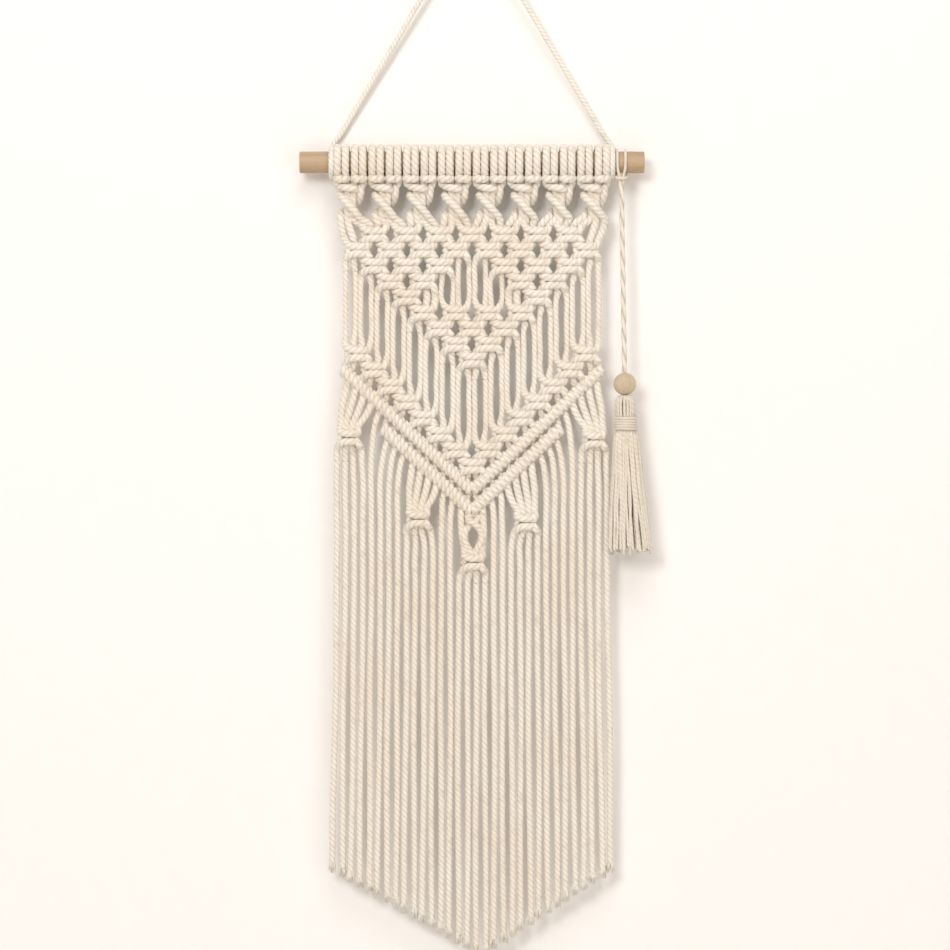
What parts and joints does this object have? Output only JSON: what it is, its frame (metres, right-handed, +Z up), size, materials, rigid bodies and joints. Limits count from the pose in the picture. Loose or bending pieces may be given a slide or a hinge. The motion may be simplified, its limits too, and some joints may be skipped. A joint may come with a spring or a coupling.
{
  "type": "macrame wall hanging",
  "caption": "Macrame wall hanging of cotton rope knotted on a wooden dowel, with a pointed fringe, a hanging cord and a beaded tassel.",
  "frame": {"origin": "the point where the hanging cord rests on its hook, above the middle of the dowel", "axes": "+Z up along the hanging, +X to the right along the dowel, the knotted front faces -Y and the wall is on the +Y side"},
  "size_m": [0.3127, 0.0385, 0.9056],
  "materials": {
    "dowel_wood": "smooth sanded, unfinished",
    "bead_wood": "smooth turned wood",
    "cotton_rope": "matte three-ply twisted cotton",
    "hanging_cord": "matte twisted cotton",
    "tassel_cotton": "matte fine cotton cord"
  },
  "bodies": {
    "hanger": {"hanging_cord": "hanging_cord"},
    "dowel": {"dowel": "dowel_wood"},
    "panel": {"spiral_cord_1": "cotton_rope", "spiral_cord_2": "cotton_rope", "spiral_cord_3": "cotton_rope", "spiral_cord_4": "cotton_rope", "spiral_cord_5": "cotton_rope", "spiral_cord_6": "cotton_rope", "spiral_cord_7": "cotton_rope", "spiral_cord_8": "cotton_rope", "knot_net": "cotton_rope", "chevron_left": "cotton_rope", "chevron_point": "cotton_rope", "chevron_right": "cotton_rope", "hitch_bar_upper_left": "cotton_rope", "hitch_bar_upper_right": "cotton_rope", "hitch_bar_lower_left": "cotton_rope", "hitch_bar_lower_right": "cotton_rope", "decorative_knot_1": "cotton_rope", "decorative_knot_2": "cotton_rope", "decorative_knot_3": "cotton_rope", "decorative_knot_4": "cotton_rope", "decorative_knot_5": "cotton_rope"},
    "fringe": {"fringe_cord_01": "cotton_rope", "fringe_cord_02": "cotton_rope", "fringe_cord_03": "cotton_rope", "fringe_cord_04": "cotton_rope", "fringe_cord_05": "cotton_rope", "fringe_cord_06": "cotton_rope", "fringe_cord_07": "cotton_rope", "fringe_cord_08": "cotton_rope", "fringe_cord_09": "cotton_rope", "fringe_cord_10": "cotton_rope", "fringe_cord_11": "cotton_rope", "fringe_cord_12": "cotton_rope", "fringe_cord_13": "cotton_rope", "fringe_cord_14": "cotton_rope", "fringe_cord_15": "cotton_rope", "fringe_cord_16": "cotton_rope", "fringe_cord_17": "cotton_rope", "fringe_cord_18": "cotton_rope", "fringe_cord_19": "cotton_rope", "fringe_cord_20": "cotton_rope", "fringe_cord_21": "cotton_rope", "fringe_cord_22": "cotton_rope", "fringe_cord_23": "cotton_rope", "fringe_cord_24": "cotton_rope", "fringe_cord_25": "cotton_rope", "fringe_cord_26": "cotton_rope", "fringe_cord_27": "cotton_rope", "fringe_cord_28": "cotton_rope", "fringe_cord_29": "cotton_rope", "fringe_cord_30": "cotton_rope", "fringe_cord_31": "cotton_rope", "fringe_cord_32": "cotton_rope"},
    "tassel_loop": {"tassel_loop": "tassel_cotton"},
    "tassel": {"tassel_string": "tassel_cotton", "tassel_bundle": "tassel_cotton", "tassel_whipping": "tassel_cotton"},
    "bead": {"tassel_bead": "bead_wood"}
  },
  "joints": [
    {"name": "dowel_roll", "type": "hinge", "parent": "hanger", "child": "dowel", "pos_m": [0, 0, -0.208], "axis": [1, 0, 0], "continuous": true},
    {"name": "panel_swing", "type": "hinge", "parent": "hanger", "child": "panel", "pos_m": [0, 0, -0.208], "axis": [-1, 0, 0], "range_deg": [0, 75]},
    {"name": "fringe_swing", "type": "hinge", "parent": "panel", "child": "fringe", "pos_m": [0, -0.004, -0.57978], "axis": [-1, 0, 0], "range_deg": [0, 60]},
    {"name": "tassel_lift", "type": "hinge", "parent": "panel", "child": "tassel_loop", "pos_m": [0, 0, -0.208], "axis": [-1, 0, 0], "range_deg": [0, 60]},
    {"name": "tassel_swing", "type": "hinge", "parent": "tassel_loop", "child": "tassel", "pos_m": [0.13198, -0.0095, -0.22719], "axis": [0, -1, 0], "range_deg": [0, 45]},
    {"name": "bead_slide", "type": "slide", "parent": "tassel", "child": "bead", "axis": [-0.0167, 0, 0.9999], "range_m": [0, 0.15]}
  ]
}
